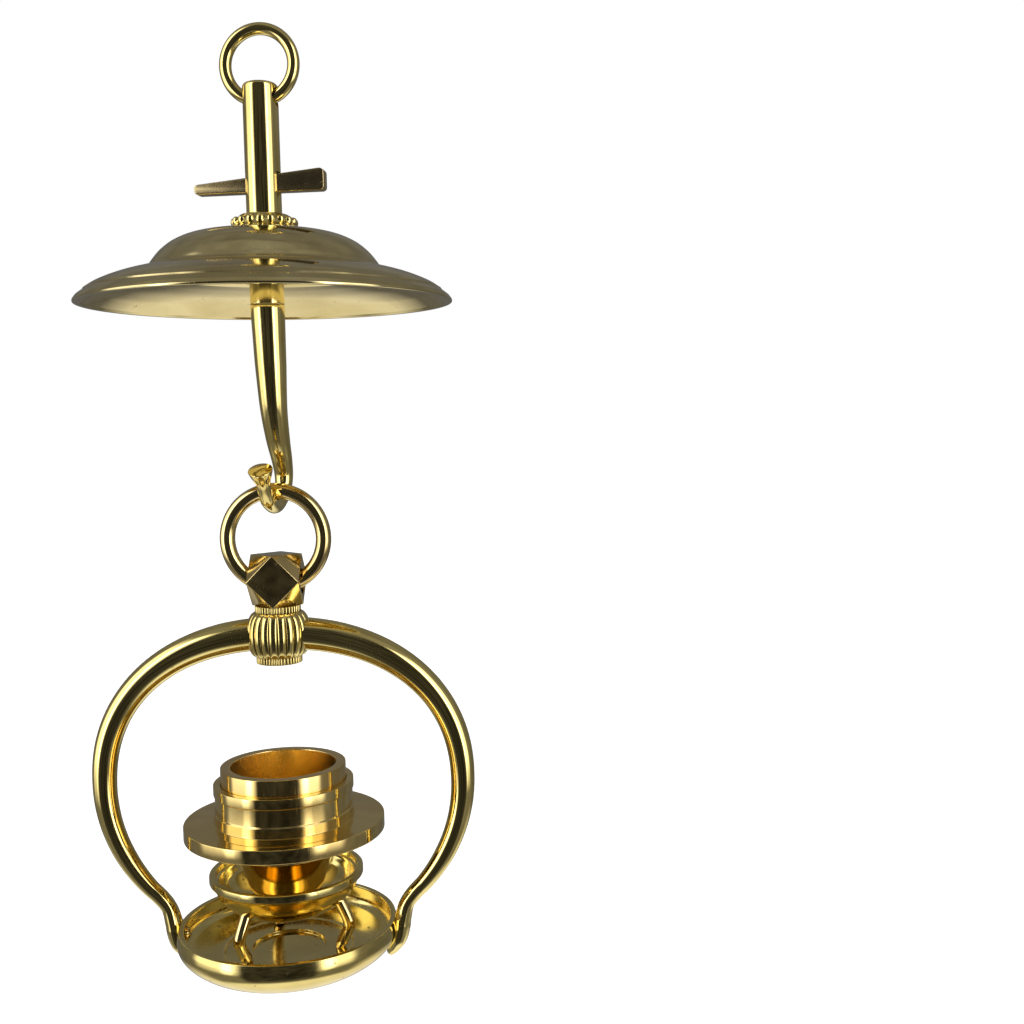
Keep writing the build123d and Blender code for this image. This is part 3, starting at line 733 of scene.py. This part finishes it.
def build_dish():
    outside = dish_outside()
    lip = rounded([(27.35, DISH_RIM_Z - 0.3, 0), (DISH_RIM_R, DISH_RIM_Z, 0.25), (26.0, DISH_RIM_Z, 0.3),
                   (25.95, DISH_RIM_Z - 0.4, 0)], closed=False)
    inside = smooth_run([(25.95, -220.9), (26.3, -222.4), (26.4, -223.9), (25.7, -225.2), (23.9, -226.1),
                         (20.8, -226.7), (16.9, -226.95)])
    recess_z = DISH_FLOOR_Z - 0.9
    floor = rounded([(16.5, DISH_FLOOR_Z, 0.1), (16.2, DISH_FLOOR_Z - 0.12, 0.1), (15.9, DISH_FLOOR_Z, 0.1),
                     (9.25, DISH_FLOOR_Z, 0.15), (9.05, recess_z, 0.25), (0, recess_z, 0)], closed=False)
    under_z = DISH_BOTTOM_Z + 1.4
    under = rounded([(0, under_z, 0), (11.3, under_z, 0.3), (11.7, DISH_BOTTOM_Z, 0.2),
                     (13.4, DISH_BOTTOM_Z, 0)], closed=False)
    item = lathe("dish_body", under + outside + lip[1:] + inside + floor, steps=256, closed=False)
    dress(item, dish_metal, "bail", "spun_brass", "dish")


def build_rivets():
    """Domed heads on short shanks, seated on the inner end of each CAD rivet."""
    head_r, head_h, shank_r = 1.5, 1.2, 0.7
    for side, name in ((-1, "rivet_left"), (1, "rivet_right")):
        low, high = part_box(name)
        inner_x = (low.x if side > 0 else high.x) / MM
        dome = []
        for step in range(9):
            angle = math.radians(90 * step / 8)
            dome.append(Vector((head_r * math.sin(angle), head_h * math.cos(angle))))
        shank = [(head_r, -0.3), (shank_r, -0.3), (shank_r, -1.6), (0, -1.6)]
        outline = dome + [Vector(place) for place in shank]
        item = lathe(name + "_head", outline, steps=48, closed=False)
        point_in = Matrix.Rotation(math.radians(-90 * side), 4, "Y")
        seat = Matrix.Translation(((inner_x + side * head_h) * MM, 0, (low.z + high.z) / 2))
        item.data.transform(seat @ point_in)
        dress(item, worn, "bail", "polished_brass", name)


# ---------------------------------------------------------------- saucer, holder and cup

SAUCER_FLOOR_Z = -215.4
SAUCER_BOTTOM_Z = -217.3
SAUCER_RIM_Z = -208.8
LEG_ANGLES = (233.0, 351.0, 111.0)
FLANGE_R = 25.1
FLANGE_TOP_Z = -193.5
HOLDER_R = 17.5
HOLDER_TOP_Z = -183.8
HOLDER_BORE_R = 15.75
CUP_R = 15.65
CUP_TOP_Z = -179.7
CUP_BOTTOM_Z = -197.0
CUP_BORE_R = 13.2
CUP_FLOOR_Z = -195.5


def saucer_outside():
    """The saucer's underside, from its middle out to the rim band."""
    bottom = rounded([(0, SAUCER_BOTTOM_Z, 0), (9.5, SAUCER_BOTTOM_Z, 0)], closed=False)
    return bottom + smooth_run([(9.6, -217.28), (13.4, -215.5), (16.5, -212.7), (18.3, -209.7),
                                (18.7, SAUCER_RIM_Z)])


def build_saucer():
    band = rounded([(18.8, -208.7, 0), (19.3, -208.7, 0.25), (19.3, -206.8, 0.35), (17.8, -206.8, 0.25),
                    (17.7, -208.3, 0.12), (17.0, -208.5, 0.12), (16.95, -208.9, 0)], closed=False)
    inner = smooth_run([(16.95, -208.9), (15.9, -211.3), (13.4, -213.7), (10.7, -215.0),
                        (8.6, SAUCER_FLOOR_Z)])
    outline = saucer_outside() + band + inner[1:] + [Vector((0, SAUCER_FLOOR_Z))]
    item = lathe("saucer_bowl", outline, steps=224, closed=False)
    dress(item, dish_metal, "stand", "spun_brass", "saucer")


def build_legs():
    for index, angle in enumerate(LEG_ANGLES):
        foot_z = DISH_FLOOR_Z + SEAT_PLAY
        run = smooth_run([(12.3, -212.0), (14.0, -215.5), (15.4, -218.5), (16.1, -220.8), (15.4, -223.0),
                          (14.0, -225.7), (13.3, foot_z)])
        sizes = [1.5 - 0.35 * max(0.0, share - 0.9) / 0.1 for share in lengths(run)]
        centres = [Vector((r, 0, z)) for r, z in run]
        item = sweep(f"saucer_leg_bent_{index + 1}", centres, sizes, sizes, Vector((0, 1, 0)), steps=40)
        floor_cut = block("cutter", (0, -6, foot_z - 6), (24, 6, foot_z))
        item = cut(item, floor_cut)
        bowl = lathe("cutter", saucer_outside() + [Vector((0, SAUCER_RIM_Z))], closed=False)
        item = cut(item, bowl)
        item.data.transform(Matrix.Rotation(math.radians(angle), 4, "Z"))
        dress(item, worn, "stand", "polished_brass", f"saucer_leg_{index + 1}")


def build_holder():
    bowl = smooth_run([(6.1, SAUCER_FLOOR_Z), (8.0, -212.9), (9.5, -210.5), (10.2, -207.4), (11.5, -204.5),
                       (13.0, -202.3), (14.5, -200.5)])
    rim = rounded([
        (14.6, -200.4, 0.1),
        (16.8, -200.4, 0.3),
        (16.8, CUP_BOTTOM_Z, 0.15),
        (FLANGE_R, CUP_BOTTOM_Z, 0.25),
        (FLANGE_R, FLANGE_TOP_Z, 0.25),
        (HOLDER_R, FLANGE_TOP_Z, 0.15),
        (HOLDER_R, -191.0, 0.1),
        (17.2, -190.6, 0.1),
        (17.2, -186.5, 0.1),
        (HOLDER_R, -186.2, 0.1),
        (HOLDER_R, HOLDER_TOP_Z, 0.2),
        (HOLDER_BORE_R, HOLDER_TOP_Z, 0.15),
        (HOLDER_BORE_R, CUP_BOTTOM_Z, 0),
        (0, CUP_BOTTOM_Z, 0),
    ], closed=False)
    outline = [Vector((0, SAUCER_FLOOR_Z))] + bowl + rim
    item = lathe("flanged_holder_body", outline, steps=256, closed=False)
    dress(item, turned, "holder", "turned_brass", "flanged_holder")


def build_cup():
    outline = rounded([
        (0, CUP_BOTTOM_Z, 0),
        (CUP_R, CUP_BOTTOM_Z, 0.3),
        (CUP_R, CUP_TOP_Z, 0.2),
        (CUP_BORE_R, CUP_TOP_Z, 0.25),
        (CUP_BORE_R, CUP_FLOOR_Z, 0.4),
        (0, CUP_FLOOR_Z, 0),
    ], closed=False)
    item = lathe("inner_cup_body", outline, steps=256, closed=False)
    dress(item, satin_turned, "cup", "turned_brass", "inner_cup")
    item.data.materials.append(bore_metal)
    for face in item.data.polygons:
        place = face.center / MM
        if place.xy.length < CUP_BORE_R + 0.2 and place.z > CUP_FLOOR_Z - 0.3:
            face.material_index = 1


# ---------------------------------------------------------------- studio

CAMERA_PLACE = Vector((59.2, -301.5, -94.4)) * MM
CAMERA_PITCH = math.radians(4.3)
CAMERA_ROLL = math.radians(1.13)
CAMERA_LENS = 42.6
FLOOR_Z = -0.50


def build_camera():
    forward = Vector((0, math.cos(CAMERA_PITCH), -math.sin(CAMERA_PITCH)))
    level_up = Vector((0, math.sin(CAMERA_PITCH), math.cos(CAMERA_PITCH)))
    level_right = Vector((1, 0, 0))
    right = level_right * math.cos(CAMERA_ROLL) - level_up * math.sin(CAMERA_ROLL)
    up = level_right * math.sin(CAMERA_ROLL) + level_up * math.cos(CAMERA_ROLL)
    data = bpy.data.cameras.new("camera")
    data.lens = CAMERA_LENS
    data.sensor_width = 36.0
    data.clip_start = 0.01
    item = bpy.data.objects.new("camera", data)
    turn = Matrix((right, up, -forward)).transposed().to_4x4()
    item.matrix_world = Matrix.Translation(CAMERA_PLACE) @ turn
    bpy.context.scene.collection.objects.link(item)
    bpy.context.scene.camera = item


def build_floor():
    half = 6.0
    mesh = bpy.data.meshes.new("floor")
    corners = [(-half, -half), (half, -half), (half, half), (-half, half)]
    mesh.from_pydata([(x, y, FLOOR_Z) for x, y in corners], [], [(0, 1, 2, 3)])
    item = bpy.data.objects.new("floor", mesh)
    bpy.context.scene.collection.objects.link(item)
    material = bpy.data.materials.new("pale_floor")
    material.use_nodes = True
    shader = material.node_tree.nodes["Principled BSDF"]
    shader.inputs["Base Color"].default_value = (0.86, 0.86, 0.86, 1)
    shader.inputs["Roughness"].default_value = 0.9
    shader.inputs["Emission Color"].default_value = (1, 1, 1, 1)
    shader.inputs["Emission Strength"].default_value = 0.85
    mesh.materials.append(material)
    item.visible_glossy = False


# Each window pane: start, end and softness in degrees of azimuth from -Y towards +X, and strength.
WINDOWS = ((41, 78, 4, 1.6), (44, 56, 2, 2.1), (-95, -42, 4, 1.35), (-60, -48, 2, 2.1))


def band(tree, value, low, high, soft):
    """1 where low < value < high, easing to 0 over soft on each side."""
    rise = remap(tree, value, low - soft, low + soft, 0.0, 1.0)
    fall = remap(tree, value, high - soft, high + soft, 1.0, 0.0)
    return math_node(tree, "MULTIPLY", rise, fall)


def build_world():
    """A studio seen only in light and reflections; the camera itself sees white.

    A dark front faces the lamp, with tall panes on each side of it. Light comes from below, and
    low from behind for the shade's underside.
    """
    world = bpy.data.worlds.new("studio")
    bpy.context.scene.world = world
    world.use_nodes = True
    tree = world.node_tree
    tree.nodes.clear()
    parts = node(tree, "ShaderNodeSeparateXYZ")
    direction = node(tree, "ShaderNodeTexCoord").outputs["Generated"]
    tree.links.new(direction, parts.inputs[0])
    x, y, z = parts.outputs
    azimuth = math_node(tree, "ARCTAN2", x, math_node(tree, "MULTIPLY", y, -1.0))
    elevation = math_node(tree, "ARCSINE", z)
    deg = math.radians(1)
    mottle = noise(tree, direction, 5.0, detail=5.0, rough=0.6)
    front = band(tree, azimuth, -40 * deg, 39 * deg, 3 * deg)
    front = math_node(tree, "MULTIPLY", front, band(tree, elevation, -48 * deg, 56 * deg, 10 * deg))
    front = math_node(tree, "MULTIPLY", front, remap(tree, mottle, 0.35, 0.65, 0.93, 0.72))
    windows = band(tree, elevation, -16 * deg, 46 * deg, 6 * deg)
    across = 0.0
    for low, high, soft, strength in WINDOWS:
        pane = band(tree, azimuth, low * deg, high * deg, soft * deg)
        pane = math_node(tree, "MULTIPLY", pane, strength)
        across = math_node(tree, "ADD", pane, across)
    windows = math_node(tree, "MULTIPLY", windows, across)
    base = remap(tree, elevation, -0.2, 0.9, 0.20, 0.26)
    base = math_node(tree, "MULTIPLY", base, remap(tree, mottle, 0.3, 0.7, 0.8, 1.2))
    behind = remap(tree, math_node(tree, "ABSOLUTE", azimuth), 85 * deg, 115 * deg, 0.0, 1.0)
    base = math_node(tree, "MULTIPLY", base, remap(tree, behind, 0.0, 1.0, 1.0, 0.7))
    below = remap(tree, elevation, -62 * deg, -50 * deg, 0.8, 0.0)
    low_back = remap(tree, elevation, -44 * deg, -26 * deg, 0.8, 0.0)
    low_back = math_node(tree, "MULTIPLY", low_back, behind)
    below = math_node(tree, "MAXIMUM", below, low_back)
    light = math_node(tree, "MULTIPLY", base, math_node(tree, "SUBTRACT", 1.0, front))
    light = math_node(tree, "ADD", light, windows)
    light = math_node(tree, "ADD", light, below)
    studio = node(tree, "ShaderNodeBackground")
    tree.links.new(light, studio.inputs["Strength"])
    studio.inputs["Color"].default_value = (1.0, 0.985, 0.96, 1)
    white = node(tree, "ShaderNodeBackground")
    white.inputs["Color"].default_value = (1, 1, 1, 1)
    white.inputs["Strength"].default_value = 1.0
    seen = node(tree, "ShaderNodeLightPath").outputs["Is Camera Ray"]
    mix = node(tree, "ShaderNodeMixShader")
    tree.links.new(seen, mix.inputs[0])
    tree.links.new(studio.outputs[0], mix.inputs[1])
    tree.links.new(white.outputs[0], mix.inputs[2])
    output = node(tree, "ShaderNodeOutputWorld")
    tree.links.new(mix.outputs[0], output.inputs[0])


build_hanging_ring()
build_stem()
build_wedge()
build_bead_collar()
build_shade()
build_sleeve()
build_hook()
build_swing_ring()
build_block()
fluted("neck_collar_reeded", "neck_collar", NECK_END_Z, NECK_TOP_Z)
fluted("knurled_nut_reeded", "knurled_nut", NUT_END_Z, KNOT_END_Z)
build_knot()
build_bail()
build_dish()
build_rivets()
build_saucer()
build_legs()
build_holder()
build_cup()
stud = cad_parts["knot_stud"]
stud.data.materials.clear()
stud.data.materials.append(worn)

build_camera()
build_floor()
build_world()
bpy.context.scene.view_settings.view_transform = "Standard"
bpy.context.scene.view_settings.look = "None"
